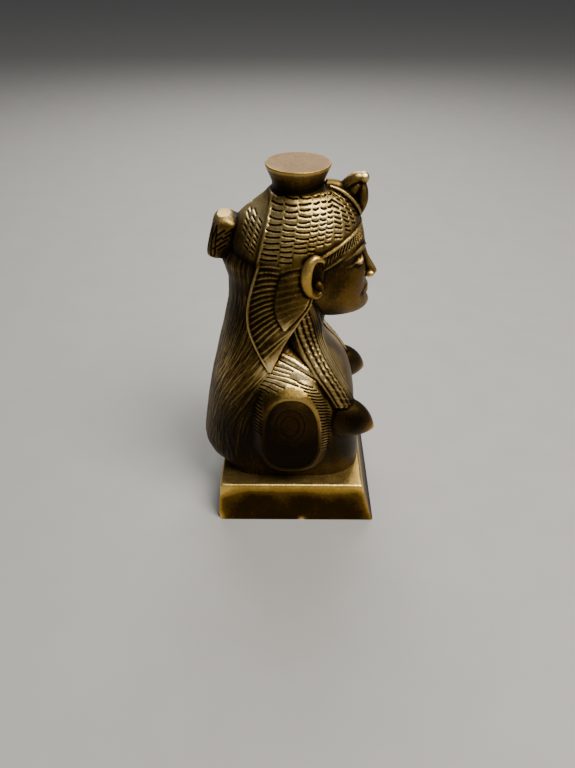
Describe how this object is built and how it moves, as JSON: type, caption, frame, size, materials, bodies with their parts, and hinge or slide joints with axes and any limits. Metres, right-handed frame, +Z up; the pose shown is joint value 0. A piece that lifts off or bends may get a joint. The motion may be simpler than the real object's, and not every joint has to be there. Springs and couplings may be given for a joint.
{
  "type": "egyptian queen bust",
  "caption": "Small cast brass bust of an ancient queen in a feathered bird headdress with a flat round crown base, arms cut off flat, on a low sloped plinth.",
  "frame": {"origin": "centre of the plinth's flat underside, on the surface that it stands on", "axes": "+Z up through the flat crown, -Y out of the face, -X the figure's right side, which the picture shows"},
  "size_m": [0.0488, 0.0566, 0.11],
  "materials": {
    "aged_brass": "cast brass with a dark brown patina in its hollows, worn golden on edges and ridges, satin to semi-gloss"
  },
  "bodies": {
    "root": {"queen_bust": "aged_brass"}
  },
  "joints": []
}
